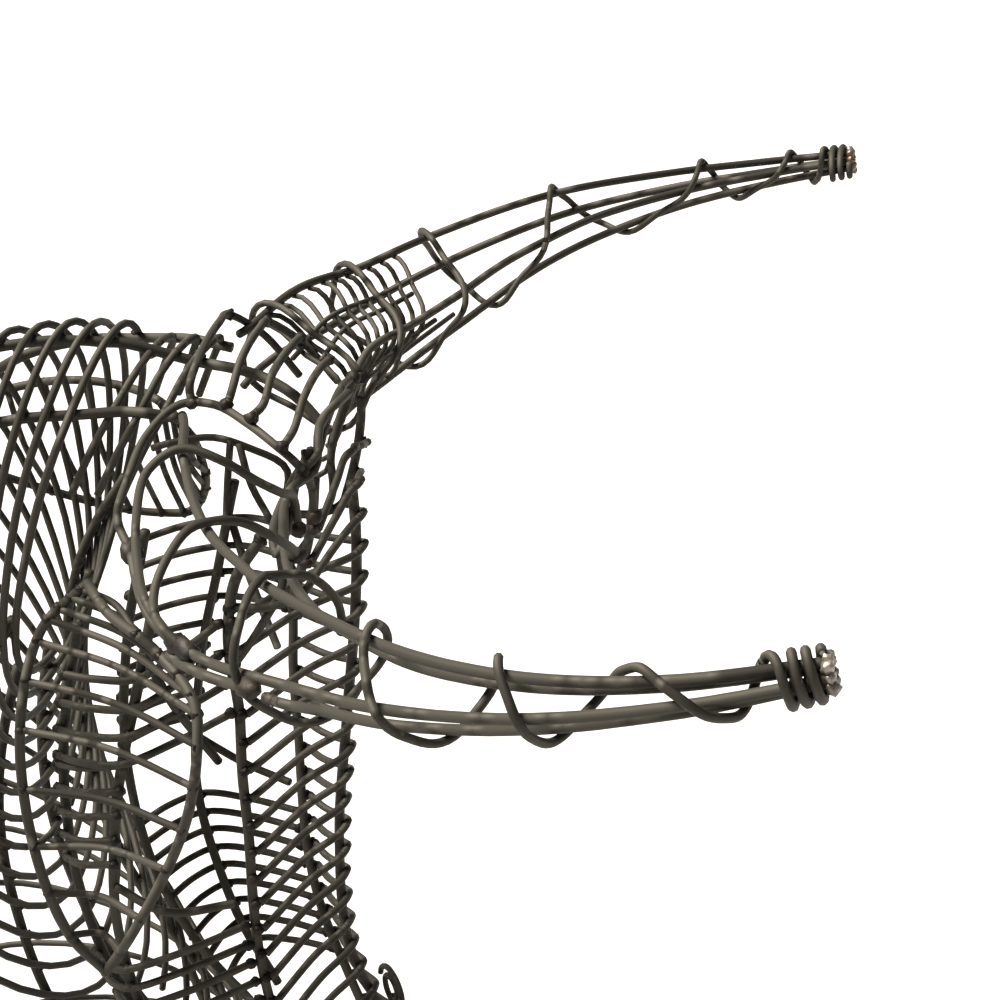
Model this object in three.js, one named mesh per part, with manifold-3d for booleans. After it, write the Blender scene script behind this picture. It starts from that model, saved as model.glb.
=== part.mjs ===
// Bull's head in bent and welded iron wire, a bust cut flat below.
// Millimetres, +Z up. The face looks towards -Y and the bull's right side is at -X.
import * as THREE from 'three';
import * as BufferGeometryUtils from 'three/addons/utils/BufferGeometryUtils.js';
import Module from 'manifold-3d';

const wasm = await Module();
wasm.setup();

// ---------- driving dimensions ----------

// Wire gauges: diameter of the round wire that each faceted section stands for.
const HORN_ROD = 4;
const HORN_WRAP = 3.3;
const FRAME_BAR = 5;
const WRAP = 3.6;
const NECK_WRAP = 3.6;
const EAR_RIM = 4.6;
const EAR_RIB = 3.2;

// Clear distance left between two pieces that touch.
const TOUCH = 0.35;
// A little more where a wire with flat sides is bent sharply over a bar.
const BEND_ROOM = 0.6;

// The head and neck are laid out from the tip side of the horns; this brings the
// middle of the whole bust over the origin.
const LAYOUT_SHIFT = [0.4, -230.3];

// Horn stations from skull to tip: [x, y, z, half height, half width].
const HORN_STATIONS = [
  [50, 244, 437, 44, 38],
  [88, 236, 446, 35, 32],
  [130, 219, 444, 30, 28],
  [168, 194, 450, 26, 25],
  [201, 162, 461, 20, 19],
  [231, 125, 472, 14.5, 14],
  [252, 80, 484, 9.5, 9.5],
  [261, 33, 497, 5.8, 5.8],
  [259, -12, 509, 3.5, 3.5],
];
// How much higher than the right horn the hand-bent left horn stands at each station.
const LEFT_HORN_LIFT = [3, 5, 8, 10, 11, 10, 7, 3, 1];
// Sideways roll of the four rods about the horn's axis, in degrees, at the skull and beyond.
const HORN_ROLL_AT_SKULL = 20;
const HORN_ROLL = { right: 3, left: 10 };
const HORN_ROD_STARTS = { top: 0, outer: 0.6, bottom: 3, inner: 0.15 };

// Where the wrap crosses the rods, counted in horn stations, a quarter turn at a time,
// and the quarter at which it begins.
const HORN_WRAP_START = { right: 0, left: 270 };
const HORN_WRAP_STEPS = {
  right: [
    3.5, 3.75, 3.85, 4.28, 4.8, 5.12, 5.3, 5.58, 5.87, 6.08, 6.15, 6.5, 6.85, 7.17, 7.4, 7.55,
    7.68, 7.72, 7.74, 7.77, 7.79, 7.81, 7.84, 7.86, 7.88, 7.91, 7.93, 7.95, 7.98,
  ],
  left: [
    0.35, 0.65, 0.8, 0.95, 1.6, 1.85, 2.15, 2.45, 2.95, 3.1, 3.45, 3.65, 4.25, 4.7, 5.05, 5.45,
    6.13, 6.35, 6.5, 6.7, 7.18, 7.32, 7.42, 7.55, 7.67, 7.7, 7.73, 7.76, 7.79, 7.81, 7.84, 7.86,
    7.88, 7.91, 7.93, 7.95, 7.98,
  ],
};
// Open loops at the root of the right horn, welded to its outer rod and bent over its top:
// [angle about the axis, station] from the outer rod to the inner side.
const ROOT_LOOPS = [
  [[90, 0.85], [70, 0.65], [50, 0.4], [25, 0.1], [0, 0.02], [-20, 0.15], [-40, 0.35], [-60, 0.45],
    [-80, 0.35], [-95, 0.2]],
  [[90, 2.75], [70, 2.3], [60, 1.9], [45, 1.4], [25, 1.05], [0, 1.05], [-25, 1.2], [-50, 1.28],
    [-70, 1.2], [-85, 1.0], [-105, 1.0]],
  [[90, 2.95], [75, 2.6], [60, 2.4], [35, 2.3], [10, 2.22], [-20, 2.25], [-50, 2.25], [-70, 2.1],
    [-85, 1.9]],
];

// Face profile over the ridge, [y, z] from forehead to lip.
const RIDGE = [
  [197, 462], [194, 430], [193, 400], [196, 350], [201, 304], [207, 235], [206, 180],
  [198, 150], [186, 126], [181, 108], [186, 94],
];
// Nose bar, [x, y, z] from horn to lip.
const NOSE_BAR = [
  [44, 228, 421], [45, 239, 403], [46, 243, 388], [46, 245, 365], [46, 242, 335], [45, 243, 300],
  [45, 242, 262], [45, 242, 225], [45, 240, 190], [45, 233, 150], [45, 222, 115], [42, 213, 94],
];
// Forehead bar, [x, y, z]: the upper rows end on it, above the nose bar.
const FOREHEAD_BAR = [
  [43, 203, 452], [44, 204, 438], [45, 207, 421], [46, 212, 403], [46, 215, 395], [46, 226, 389], [46, 243, 387],
];
const FOREHEAD_ROWS_ABOVE = 393;
// Cheek bar and jaw bar, [x, y, z] from the skull down to the chin.
const CHEEK_BAR = [
  [62, 272, 394], [63, 283, 350], [63, 297, 290], [62, 304, 230], [61, 302, 195], [60, 294, 160],
  [57, 281, 125], [48, 262, 98],
];
const JAW_BAR = [
  [46, 314, 372], [44, 326, 320], [41, 332, 270], [39, 331, 220], [37, 320, 170], [34, 298, 128],
  [30, 272, 100],
];
// Bars round the eye opening, [x, y, z].
const BROW_BAR = [[66, 277, 372], [60, 266, 340], [51, 252, 309]];
const EYELID_BAR = [[64, 302, 243], [63, 278, 230], [51, 250, 229]];

// Wires from nose bar to cheek bar: heights at the nose bar. The eye opening is left between.
const TEMPLE_WIRE_HEIGHTS = [380, 364, 349, 334];
const EYE_WIRE_HEIGHTS = [312, 298, 284, 270, 256];
const JAW_WIRE_TOP = 214;
const JAW_WIRE_PITCH = 11;
const JAW_WIRES = 9;
const CHEEK_WIRE_DROP = { right: 20, left: 8 };
const JAW_WIRE_DROP = { right: 34, left: 15 };

// Muzzle: oval lip hoop and the bars across it, then the nostril coils.
const LIP_CENTRE = [0, 238, 82];
const LIP_HALF = [41, 35];
const LIP_BAR_SPACING = 17;
const NOSTRIL = { x: 27, y: 193, z: 121, outer: 12, inner: 4, turns: 1.75, slant: 0.75 };

// Ear, right side: front edge and back edge from the root to the tip, [x, y, z].
const EAR_FRONT = [
  [74, 296, 410], [90, 281, 405], [104, 257, 398], [114, 239, 382], [119, 237, 362],
  [123, 241, 335], [124, 253, 303], [121, 275, 259], [117, 288, 238],
];
const EAR_BACK = [
  [74, 296, 410], [84, 314, 392], [100, 322, 350], [114, 316, 300], [120, 302, 260], [117, 288, 238],
];
// Rib ends as fractions along the back edge and along the front edge.
const EAR_RIBS = [
  [0.03, 0.2], [0.07, 0.26], [0.12, 0.31], [0.17, 0.36], [0.23, 0.41], [0.31, 0.49],
  [0.4, 0.58], [0.5, 0.67], [0.6, 0.75], [0.7, 0.83], [0.81, 0.91],
];
const EAR_CUP = 7;
// The right ear hangs down; the left one is swung back along the neck about its root.
const EAR_SWING = { right: 0, left: 80 };

// Wires across the poll: [y, z] at the right end, then [y, z] at the left end.
const POLL_WIRES = [
  [255, 489, 263, 489], [238, 488, 245, 487], [224, 483, 230, 480], [212, 473, 217, 470],
  [202, 462, 207, 462],
];
const POLL_HALF_WIDTH = 42;
const POLL_ARCH = 6;

// Neck: crest line, throat line [y, z] and half width, from the collar to the foot hoop.
const CREST = [
  [298, 493], [334, 492], [378, 480], [424, 444], [455, 374], [467, 282], [471, 165], [470, 10],
];
const THROAT = [
  [346, 330], [354, 290], [356, 245], [348, 195], [331, 145], [303, 98], [268, 50], [238, 10.5],
];
const NECK_HALF_WIDTH = [78, 82, 86, 91, 96, 101, 107, 112];
const NECK_TURNS = 21;
const WRAP_END_GAP = 2;
const NECK_WRAP_LENGTHS = { upper: [0, 7], middle: [7, 14], lower: [14, 21] };
// Arches over the crest bar, between the horns and the collar.
const ARCH_PLACES = [264, 275, 286];
const ARCH_HALF_WIDTH = 38;
const ARCH_FOOT = 478;
const ARCH_TOP = 491;
const POLL_BAR = [[207, 453], [222, 470], [240, 479], [268, 483]];
const FOOT_HOOP_WIDTH = 8;
const FOOT_HOOP_HEIGHT = 7;

const IRON = { color: 0x3a342e, roughness: 0.5, metalness: 0.85 };

// ---------- wire making ----------

// A path that runs straight from bend to bend, so that each bend gets one section.
class BentPath extends THREE.Curve {
  constructor(bends) {
    super();
    this.bends = bends;
  }
  getPoint(t, target = new THREE.Vector3()) {
    const last = this.bends.length - 1;
    const i = Math.min(Math.floor(t * last), last - 1);
    return target.lerpVectors(this.bends[i], this.bends[i + 1], t * last - i);
  }
  getPointAt(u, target) {
    return this.getPoint(u, target);
  }
  getTangentAt(u, target = new THREE.Vector3()) {
    const last = this.bends.length - 1;
    const at = Math.round(u * last);
    const back = this.direction(Math.max(at - 1, 0));
    const ahead = this.direction(Math.min(at, last - 1));
    return target.addVectors(back, ahead).normalize();
  }
  direction(i) {
    return new THREE.Vector3().subVectors(this.bends[i + 1], this.bends[i]).normalize();
  }
  getSpacedPoints() {
    return this.bends;
  }
}

// Corner radius of a section with flat sides that has the same area as the round wire.
function sectionRadius(gauge, sides) {
  const turn = (2 * Math.PI) / sides;
  return (gauge / 2) * Math.sqrt((2 * Math.PI) / (sides * Math.sin(turn)));
}

function wireGeometry(bends, gauge, sides = 4) {
  const section = new THREE.Shape();
  const radius = sectionRadius(gauge, sides);
  for (let i = 0; i < sides; i += 1) {
    const angle = (2 * Math.PI * (i + 0.5)) / sides;
    const corner = [radius * Math.cos(angle), radius * Math.sin(angle)];
    if (i === 0) section.moveTo(...corner);
    else section.lineTo(...corner);
  }
  section.closePath();
  const extrudePath = new BentPath(bends);
  return new THREE.ExtrudeGeometry(section, { steps: bends.length - 1, extrudePath });
}

const head = new THREE.Group();
head.position.set(...LAYOUT_SHIFT, 0);

function addPiece(name, geometry) {
  const mesh = new THREE.Mesh(geometry, new THREE.MeshStandardMaterial(IRON));
  mesh.name = name;
  head.add(mesh);
}

function addWire(name, bends, gauge, sides) {
  addPiece(name, wireGeometry(bends, gauge, sides));
}

// Smooth run through hand-placed points, read at any fraction of its length in points.
function curveThrough(points) {
  return new THREE.CatmullRomCurve3(points.map((p) => new THREE.Vector3(...p)));
}

function sample(curve, steps, from = 0, to = 1) {
  const bends = [];
  for (let i = 0; i <= steps; i += 1) bends.push(curve.getPoint(from + ((to - from) * i) / steps));
  return bends;
}

function mirrored(points, side) {
  return points.map(([x, ...rest]) => [x * side, ...rest]);
}

// Joins overlapping geometries into one welded body.
function weld(geometries) {
  const solids = geometries.map((geometry) => {
    const bare = geometry.clone();
    bare.deleteAttribute('normal');
    bare.deleteAttribute('uv');
    const merged = BufferGeometryUtils.mergeVertices(bare, 1e-4);
    const vertProperties = new Float32Array(merged.attributes.position.array);
    const triVerts = new Uint32Array(merged.index.array);
    return new wasm.Manifold(new wasm.Mesh({ numProp: 3, vertProperties, triVerts }));
  });
  const joined = solids.reduce((whole, next) => whole.add(next));
  const mesh = joined.getMesh();
  const geometry = new THREE.BufferGeometry();
  geometry.setAttribute('position', new THREE.BufferAttribute(mesh.vertProperties, 3));
  geometry.setIndex(new THREE.BufferAttribute(mesh.triVerts, 1));
  geometry.computeVertexNormals();
  return geometry;
}

// ---------- horns ----------

const QUARTERS = ['top', 'outer', 'bottom', 'inner'];
const LAST_STATION = HORN_STATIONS.length - 1;

// Gives the point on the horn's surface at a station and an angle about its axis.
function hornSurface(sideName) {
  const side = sideName === 'right' ? -1 : 1;
  const lift = sideName === 'left' ? LEFT_HORN_LIFT : LEFT_HORN_LIFT.map(() => 0);
  const axis = curveThrough(HORN_STATIONS.map(([x, y, z], i) => [x * side, y, z + lift[i]]));
  const radii = curveThrough(HORN_STATIONS.map(([, , , up, across], i) => [i * 40, up, across]));
  return (station, degrees, proud = 0) => {
    const t = Math.min(station / LAST_STATION, 1);
    const tangent = axis.getTangent(t);
    const outer = new THREE.Vector3().crossVectors(tangent, new THREE.Vector3(0, 0, 1));
    outer.normalize().multiplyScalar(-side);
    const up = new THREE.Vector3().crossVectors(outer, tangent).multiplyScalar(-side);
    const size = radii.getPoint(t);
    const skullShare = Math.max(0, 1 - station / 3);
    const roll = HORN_ROLL[sideName] + (HORN_ROLL_AT_SKULL - HORN_ROLL[sideName]) * skullShare;
    const angle = THREE.MathUtils.degToRad(degrees + roll);
    return axis.getPoint(t)
      .addScaledVector(up, (size.y + proud) * Math.cos(angle))
      .addScaledVector(outer, (size.z + proud) * Math.sin(angle));
  };
}

const WRAP_PROUD = sectionRadius(HORN_ROD, 5) + sectionRadius(HORN_WRAP, 4) + TOUCH + BEND_ROOM;

// Each loop starts inside the outer rod and stands clear of the rods that it passes over.
function rootLoops(surface) {
  return ROOT_LOOPS.map((loop) => wireGeometry(
    loop.map(([degrees, station], i) => (
      surface(station, degrees, i === 0 ? 0 : WRAP_PROUD + BEND_ROOM)
    )),
    HORN_WRAP,
  ));
}

function addHorn(sideName) {
  const surface = hornSurface(sideName);
  QUARTERS.forEach((quarter, i) => {
    const start = HORN_ROD_STARTS[quarter];
    const count = Math.ceil((LAST_STATION - start) * 1.4);
    const bends = [];
    for (let k = 0; k <= count; k += 1) {
      bends.push(surface(start + ((LAST_STATION - start) * k) / count, i * 90));
    }
    const rod = wireGeometry(bends, HORN_ROD, 5);
    const hasLoops = sideName === 'right' && quarter === 'outer';
    addPiece(
      `${sideName}_horn_${quarter}_rod`, hasLoops ? weld([rod, ...rootLoops(surface)]) : rod,
    );
  });
  const steps = HORN_WRAP_STEPS[sideName];
  const begin = HORN_WRAP_START[sideName];
  const along = curveThrough(steps.map((step, i) => [i, step, 0]));
  const bends = [];
  const eighths = 2 * (steps.length - 1);
  for (let k = 0; k <= eighths; k += 1) {
    const station = along.getPoint(k / eighths).y;
    bends.push(surface(station, begin + k * 45, WRAP_PROUD));
  }
  addWire(`${sideName}_horn_wrap`, bends, HORN_WRAP, 4);
}

addHorn('right');
addHorn('left');

// ---------- face ----------

const BAR_RADIUS = sectionRadius(FRAME_BAR, 4);
const WRAP_RADIUS = sectionRadius(WRAP, 4);
// How far a bar's centre lies inside the wires that are bent over it.
const BAR_DEPTH = BAR_RADIUS + WRAP_RADIUS + TOUCH;

const ridge = curveThrough(RIDGE.map(([y, z]) => [0, y, z]));
const SIDES = [['right', -1], ['left', 1]];

// Height of the ridge wires: pitch tightens from forehead to lip.
const NOSE_WIRES = 23;
const NOSE_WIRE_TOP = 447;
const NOSE_WIRE_PITCH = 16.5;
const NOSE_WIRE_TIGHTENING = 0.13;
// The wires drop from the ridge to the bars, less at the right end than at the left.
const NOSE_WIRE_DROP = { right: 17, left: 19 };

// Finds where a curve of points passes a height, by halving.
function atHeight(curve, z) {
  let low = 0;
  let high = 1;
  for (let i = 0; i < 24; i += 1) {
    const middle = (low + high) / 2;
    if (curve.getPoint(middle).z > z) low = middle;
    else high = middle;
  }
  return curve.getPoint(low);
}

const noseBars = Object.fromEntries(SIDES.map(([name, side]) => [
  name, curveThrough(mirrored(NOSE_BAR, side)),
]));
const foreheadBars = Object.fromEntries(SIDES.map(([name, side]) => [
  name, curveThrough(mirrored(FOREHEAD_BAR, side)),
]));
const cheekBars = Object.fromEntries(SIDES.map(([name, side]) => [
  name, curveThrough(mirrored(CHEEK_BAR, side)),
]));
const jawBars = Object.fromEntries(SIDES.map(([name, side]) => [
  name, curveThrough(mirrored(JAW_BAR, side)),
]));

function inwards(points, depth) {
  return points.map(([y, z]) => [0, y + depth, z]);
}

function addFaceBars() {
  addWire('ridge_bar', sample(curveThrough(inwards(RIDGE, BAR_DEPTH + BEND_ROOM)), 14, 0.12), FRAME_BAR);
  SIDES.forEach(([name]) => {
    addPiece(`${name}_nose_bar`, weld([
      wireGeometry(sample(noseBars[name], 15), FRAME_BAR),
      wireGeometry(sample(foreheadBars[name], 12), FRAME_BAR),
    ]));
  });
}

function addNoseWires() {
  let z = NOSE_WIRE_TOP;
  for (let i = 1; i <= NOSE_WIRES; i += 1) {
    const middle = atHeight(ridge, z);
    const ends = SIDES.map(([name, side]) => {
      const foot = z - NOSE_WIRE_DROP[name];
      const bar = foot > FOREHEAD_ROWS_ABOVE ? foreheadBars[name] : noseBars[name];
      return atHeight(bar, foot).add(new THREE.Vector3(side * 1.5, -BAR_DEPTH + 0.5, 0));
    });
    const bends = [
      ends[0],
      middle.clone().add(new THREE.Vector3(-8, 1.5, -1)),
      middle,
      middle.clone().add(new THREE.Vector3(8, 1.5, -3)),
      ends[1],
    ];
    addWire(`nose_wire_${String(i).padStart(2, '0')}`, bends, WRAP);
    z -= NOSE_WIRE_PITCH - NOSE_WIRE_TIGHTENING * i;
  }
}

function addCheek(name, side) {
  const bars = [
    wireGeometry(sample(cheekBars[name], 9), FRAME_BAR),
    wireGeometry(sample(jawBars[name], 8), FRAME_BAR),
  ];
  const nearNoseBar = (z) => atHeight(noseBars[name], z).add(
    new THREE.Vector3(side * 1.5, BAR_DEPTH, 0),
  );
  const onCheek = (z) => atHeight(cheekBars[name], z).add(new THREE.Vector3(side * 2, -1, 0));
  const onJaw = (z) => atHeight(jawBars[name], z).add(new THREE.Vector3(side * 1, 2, 0));
  const jawHeights = Array.from({ length: JAW_WIRES }, (_, i) => JAW_WIRE_TOP - i * JAW_WIRE_PITCH);
  const wires = [...TEMPLE_WIRE_HEIGHTS, ...jawHeights].map((z) => [
    nearNoseBar(z), onCheek(z - CHEEK_WIRE_DROP[name]), onJaw(z - JAW_WIRE_DROP[name]),
  ]);
  EYE_WIRE_HEIGHTS.forEach((z) => wires.push([onCheek(z), onJaw(z - JAW_WIRE_DROP[name] / 2)]));
  const rims = [BROW_BAR, EYELID_BAR].map((points) => (
    wireGeometry(mirrored(points, side).map((p) => new THREE.Vector3(...p)), WRAP)
  ));
  const strands = wires.map((bends) => wireGeometry(bends, WRAP, 3));
  addPiece(`${name}_cheek`, weld([...bars, ...rims, ...strands]));
}

// ---------- muzzle ----------

function addMuzzle() {
  const [cx, cy, cz] = LIP_CENTRE;
  const [halfX, halfY] = LIP_HALF;
  const oval = (degrees) => {
    const a = THREE.MathUtils.degToRad(degrees);
    return new THREE.Vector3(cx + halfX * Math.cos(a), cy + halfY * Math.sin(a), cz);
  };
  const arc = (from, to, steps) => Array.from(
    { length: steps + 1 }, (_, i) => oval(from + ((to - from) * i) / steps),
  );
  const parts = [wireGeometry(arc(-1, 181, 8), FRAME_BAR), wireGeometry(arc(179, 361, 8), FRAME_BAR)];
  [-1, 0, 1].forEach((row) => {
    const y = row * LIP_BAR_SPACING;
    const x = halfX * Math.sqrt(1 - (y / halfY) ** 2);
    parts.push(wireGeometry(
      [new THREE.Vector3(-x, cy + y, cz), new THREE.Vector3(x, cy + y, cz)], WRAP,
    ));
  });
  addPiece('lip_hoop', weld(parts));
  SIDES.forEach(([name, side]) => {
    const bends = [];
    const steps = Math.round(NOSTRIL.turns * 8);
    for (let i = 0; i <= steps; i += 1) {
      const a = (i / 8) * 2 * Math.PI;
      const radius = NOSTRIL.outer + ((NOSTRIL.inner - NOSTRIL.outer) * i) / steps;
      const across = radius * Math.cos(a);
      bends.push(new THREE.Vector3(
        side * (NOSTRIL.x + across), NOSTRIL.y + across * NOSTRIL.slant, NOSTRIL.z + radius * Math.sin(a),
      ));
    }
    addWire(`${name}_nostril_coil`, bends, EAR_RIB);
  });
}

// ---------- ears ----------

function addEar(name, side) {
  const front = curveThrough(mirrored(EAR_FRONT, side));
  const back = curveThrough(mirrored(EAR_BACK, side));
  const parts = [wireGeometry(sample(front, 12), EAR_RIM), wireGeometry(sample(back, 9), EAR_RIM)];
  EAR_RIBS.forEach(([fromBack, toFront]) => {
    const start = back.getPoint(fromBack);
    const end = front.getPoint(toFront);
    const middle = start.clone().lerp(end, 0.5).add(new THREE.Vector3(side * -EAR_CUP, 0, 0));
    parts.push(wireGeometry([start, middle, end], EAR_RIB, 3));
  });
  const ear = weld(parts);
  const [rootX, rootY, rootZ] = EAR_FRONT[0];
  ear.translate(-rootX * side, -rootY, -rootZ);
  ear.rotateX(THREE.MathUtils.degToRad(EAR_SWING[name]));
  ear.translate(rootX * side, rootY, rootZ);
  addPiece(`${name}_ear`, ear);
}

// ---------- poll ----------

function addPollWires() {
  POLL_WIRES.forEach(([rightY, rightZ, leftY, leftZ], i) => {
    const bends = [
      new THREE.Vector3(-POLL_HALF_WIDTH, rightY, rightZ),
      new THREE.Vector3(-POLL_HALF_WIDTH / 2, rightY * 0.75 + leftY * 0.25, rightZ + POLL_ARCH * 0.8),
      new THREE.Vector3(POLL_HALF_WIDTH / 2, rightY * 0.25 + leftY * 0.75, leftZ + POLL_ARCH * 0.8),
      new THREE.Vector3(POLL_HALF_WIDTH, leftY, leftZ),
    ];
    addWire(`poll_wire_${i + 1}`, bends, WRAP);
  });
}

// ---------- neck ----------

const crest = curveThrough(CREST.map(([y, z]) => [0, y, z]));
const throat = curveThrough(THROAT.map(([y, z]) => [0, y, z]));
const neckWidth = curveThrough(NECK_HALF_WIDTH.map((x, i) => [x, i * 60, 0]));

// Point on the neck at a share of its length and an angle from the crest.
function neckPoint(t, degrees) {
  const top = crest.getPoint(t);
  const bottom = throat.getPoint(t);
  const across = neckWidth.getPoint(t).x;
  const angle = THREE.MathUtils.degToRad(degrees);
  return top.clone().lerp(bottom, 0.5 - Math.cos(angle) / 2)
    .add(new THREE.Vector3(across * Math.sin(angle), 0, 0));
}

// The same point moved square to the surface, towards the inside.
function insideNeck(t, degrees, depth) {
  const before = neckPoint(Math.max(t - 0.01, 0), degrees);
  const along = neckPoint(Math.min(t + 0.01, 1), degrees).sub(before);
  const around = neckPoint(t, degrees + 1).sub(neckPoint(t, degrees - 1));
  const inward = along.cross(around).normalize();
  return neckPoint(t, degrees).addScaledVector(inward, depth);
}

const NECK_BAR_DEPTH = BAR_RADIUS + sectionRadius(NECK_WRAP, 4) + TOUCH + BEND_ROOM;
const NECK_BARS = {
  right_upper_neck_bar: -36,
  left_upper_neck_bar: 36,
  right_side_neck_bar: -108,
  left_side_neck_bar: 108,
  right_lower_neck_bar: -144,
  left_lower_neck_bar: 144,
};
const BENDS_PER_NECK_TURN = 10;

function addNeck() {
  Object.entries(NECK_WRAP_LENGTHS).forEach(([name, [from, to]]) => {
    const bends = [];
    for (let i = 0; i <= (to - from) * BENDS_PER_NECK_TURN; i += 1) {
      const turn = from + i / BENDS_PER_NECK_TURN;
      bends.push(neckPoint(turn / NECK_TURNS, 180 + turn * 360));
    }
    const last = bends.length - 1;
    bends[last].lerp(bends[last - 1], WRAP_END_GAP / bends[last].distanceTo(bends[last - 1]));
    addWire(`${name}_neck_wrap`, bends, NECK_WRAP);
  });
  const barBends = (degrees) => Array.from(
    { length: 11 }, (_, i) => insideNeck(i / 10, degrees, NECK_BAR_DEPTH),
  );
  Object.entries(NECK_BARS).forEach(([name, degrees]) => addWire(name, barBends(degrees), FRAME_BAR));
  addWire('throat_bar', barBends(180), FRAME_BAR);
  const poll = POLL_BAR.map(([y, z]) => new THREE.Vector3(0, y, z));
  const arches = ARCH_PLACES.map((y) => wireGeometry([
    new THREE.Vector3(-ARCH_HALF_WIDTH, y + 3, ARCH_FOOT),
    new THREE.Vector3(-ARCH_HALF_WIDTH * 0.6, y + 1, ARCH_TOP - 9),
    new THREE.Vector3(0, y, ARCH_TOP - 6),
    new THREE.Vector3(ARCH_HALF_WIDTH * 0.6, y + 1, ARCH_TOP - 9),
    new THREE.Vector3(ARCH_HALF_WIDTH, y + 3, ARCH_FOOT),
  ], NECK_WRAP));
  addPiece('crest_bar', weld([wireGeometry([...poll, ...barBends(0)], FRAME_BAR), ...arches]));
}

function addFootHoop() {
  const [frontY] = THROAT.at(-1);
  const [backY] = CREST.at(-1);
  const halfY = (backY - frontY) / 2;
  const halfX = NECK_HALF_WIDTH.at(-1);
  const half = FOOT_HOOP_WIDTH / 2;
  const hoop = new THREE.Shape().absellipse(0, 0, halfX + half, halfY + half, 0, 2 * Math.PI);
  const hole = new THREE.Path().absellipse(0, 0, halfX - half, halfY - half, 0, 2 * Math.PI);
  hoop.holes.push(hole);
  const geometry = new THREE.ExtrudeGeometry(hoop, {
    depth: FOOT_HOOP_HEIGHT, bevelEnabled: false, curveSegments: 28,
  });
  geometry.translate(0, (backY + frontY) / 2, 0);
  addPiece('foot_hoop', geometry);
}

addFaceBars();
addNoseWires();
SIDES.forEach(([name, side]) => addCheek(name, side));
addMuzzle();
SIDES.forEach(([name, side]) => addEar(name, side));
addPollWires();
addNeck();
addFootHoop();

const group = new THREE.Group();
group.add(head);

export default group;
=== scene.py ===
"""Bull's head in bent and welded iron wire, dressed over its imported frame.

Layout places are written in millimetres, as the maker's drawing has them, and
``place`` turns them into metres in the row frame. The face looks towards -Y and
the bull's right side is at -X.
"""

from __future__ import annotations

import logging
import math
from dataclasses import dataclass, field
from enum import Enum
from typing import Sequence

import bmesh
import bpy
from mathutils import Matrix, Vector, noise


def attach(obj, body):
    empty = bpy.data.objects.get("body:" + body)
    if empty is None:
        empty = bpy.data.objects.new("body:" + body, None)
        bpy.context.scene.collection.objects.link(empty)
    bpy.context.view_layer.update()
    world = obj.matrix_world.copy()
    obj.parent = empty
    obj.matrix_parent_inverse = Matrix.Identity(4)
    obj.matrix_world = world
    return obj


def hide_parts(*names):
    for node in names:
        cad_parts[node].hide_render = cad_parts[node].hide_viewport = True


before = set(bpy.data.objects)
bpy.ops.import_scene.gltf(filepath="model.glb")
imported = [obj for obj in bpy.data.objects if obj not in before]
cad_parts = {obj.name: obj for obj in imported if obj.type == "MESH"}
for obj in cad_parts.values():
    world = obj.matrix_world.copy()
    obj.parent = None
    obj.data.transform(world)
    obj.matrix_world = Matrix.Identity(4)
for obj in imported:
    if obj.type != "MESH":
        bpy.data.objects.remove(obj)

log = logging.getLogger("bull")
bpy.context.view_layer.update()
# Fixes the hand waviness of every wire, which is otherwise drawn anew in each run.
WAVER_SEED = 7

MM = 0.001
LAYOUT_SHIFT = (0.4, -230.3)
Point = tuple[float, float, float]


class Side(Enum):
    """One side of the animal, with the sign of its X."""

    RIGHT = -1
    LEFT = 1

    @property
    def label(self) -> str:
        """The word that starts this side's piece names."""
        return self.name.lower()


class End(Enum):
    """How a wire's end is finished."""

    WELDED = "welded"
    CUT = "cut"


class Metal(Enum):
    """Material slots of every piece, in order."""

    IRON = 0
    WELD = 1
    RAW = 2


def place(x: float, y: float, z: float) -> Vector:
    """Turns a layout place in millimetres into the row frame.

    Args:
        x: Millimetres to the animal's left.
        y: Millimetres back from the layout's front line.
        z: Millimetres above the underside.

    Returns:
        The place in metres.
    """
    return Vector(((x + LAYOUT_SHIFT[0]) * MM, (y + LAYOUT_SHIFT[1]) * MM, z * MM))


# ---------- finishes ----------


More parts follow.
